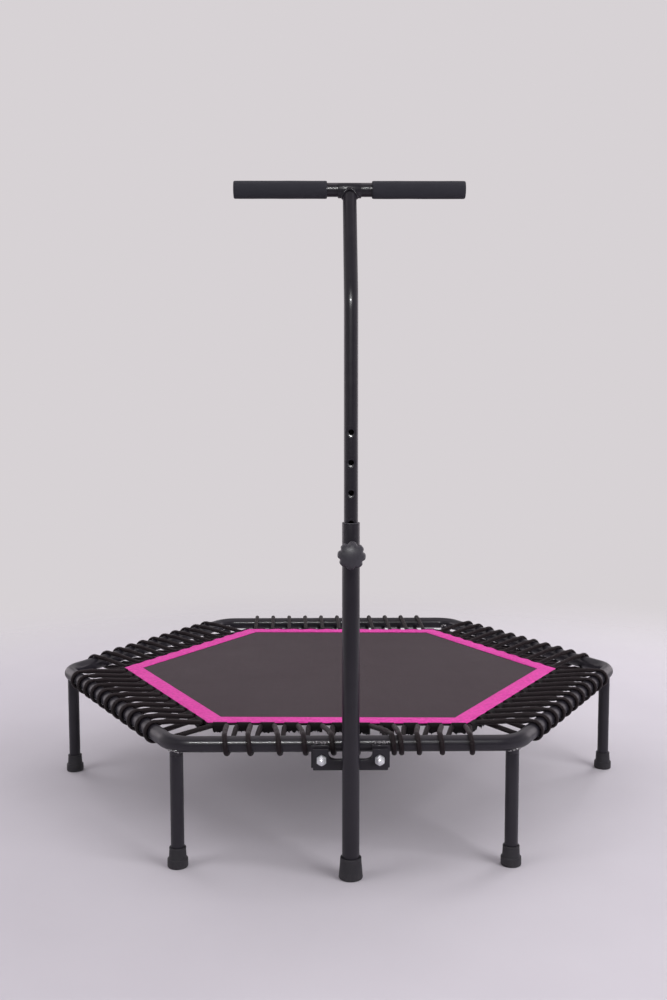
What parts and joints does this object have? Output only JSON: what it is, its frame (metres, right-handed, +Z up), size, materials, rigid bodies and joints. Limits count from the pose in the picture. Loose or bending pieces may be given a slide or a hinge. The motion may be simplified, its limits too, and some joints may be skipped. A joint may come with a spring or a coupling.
{
  "type": "mini trampoline",
  "caption": "Hexagonal fitness trampoline: bungee-laced jumping mat in a tubular frame on screw-in legs, with a height-adjustable T-handle.",
  "frame": {"origin": "on the floor, under the middle of the whole object's bounding box", "axes": "+Z up; the handle is on the -Y side and the user stands on the mat at +Y of it; +X to the right when facing the object from the handle's side"},
  "size_m": [1.3032, 1.2452, 1.2803],
  "materials": {
    "frame_paint": "satin black powder coat",
    "chrome_hardware": "bright plated",
    "rubber_feet": "matt moulded",
    "black_plastic": "satin moulded",
    "grip_foam": "closed-cell foam",
    "mat_fabric": "woven jumping fabric",
    "border_vinyl": "stitched pink coated fabric",
    "webbing": "woven black webbing",
    "bungee_cord": "braided sheath"
  },
  "bodies": {
    "frame": {"frame_ring": "frame_paint", "leg_stub_1": "frame_paint", "leg_1": "frame_paint", "leg_foot_1": "rubber_feet", "leg_stub_2": "frame_paint", "leg_2": "frame_paint", "leg_foot_2": "rubber_feet", "leg_stub_3": "frame_paint", "leg_3": "frame_paint", "leg_foot_3": "rubber_feet", "leg_stub_4": "frame_paint", "leg_4": "frame_paint", "leg_foot_4": "rubber_feet", "leg_stub_5": "frame_paint", "leg_5": "frame_paint", "leg_foot_5": "rubber_feet", "leg_stub_6": "frame_paint", "leg_6": "frame_paint", "leg_foot_6": "rubber_feet", "frame_bracket": "frame_paint", "post_bracket": "frame_paint", "bracket_bolt_left": "chrome_hardware", "bracket_nut_left": "chrome_hardware", "bracket_bolt_right": "chrome_hardware", "bracket_nut_right": "chrome_hardware", "lower_post": "frame_paint", "post_foot": "rubber_feet", "post_bushing": "black_plastic", "knob_boss": "frame_paint", "bungee_cord_1": "bungee_cord", "bungee_cord_2": "bungee_cord", "bungee_cord_3": "bungee_cord", "bungee_cord_4": "bungee_cord", "bungee_cord_5": "bungee_cord", "bungee_cord_6": "bungee_cord"},
    "handle": {"upper_tube": "frame_paint", "crossbar": "frame_paint", "bar_saddle": "frame_paint", "grip_left": "grip_foam", "grip_right": "grip_foam", "bar_plug_left": "black_plastic", "bar_plug_right": "black_plastic"},
    "lock_pin": {"lock_pin": "chrome_hardware"},
    "lock_knob": {"lock_stem": "chrome_hardware", "lock_knob": "black_plastic"},
    "mat": {"mat_panel": "mat_fabric", "mat_border": "border_vinyl", "loop_band_1": "webbing", "loop_band_2": "webbing", "loop_band_3": "webbing", "loop_band_4": "webbing", "loop_band_5": "webbing", "loop_band_6": "webbing"}
  },
  "joints": [
    {"name": "handle_height", "type": "slide", "parent": "frame", "child": "handle", "axis": [0, 0, 1], "range_m": [-0.216, 0]},
    {"name": "pin_travel", "type": "slide", "parent": "frame", "child": "lock_pin", "axis": [0, -1, 0], "range_m": [-0.0076, 0.0031]},
    {"name": "knob_turn", "type": "hinge", "parent": "lock_pin", "child": "lock_knob", "pos_m": [0.01, -0.56259, 0.606], "axis": [0, -1, 0], "range_deg": [-1800, 720]},
    {"name": "mat_bounce", "type": "slide", "parent": "frame", "child": "mat", "axis": [0, 0, 1], "range_m": [-0.15, 0], "stiffness_N_per_m": 8000, "deforming": ["bungee_cord_1", "bungee_cord_2", "bungee_cord_3", "bungee_cord_4", "bungee_cord_5", "bungee_cord_6"]}
  ],
  "couplings": [
    {"joint": "pin_travel", "follows": "knob_turn", "m_per_rad": 0.00023873}
  ]
}
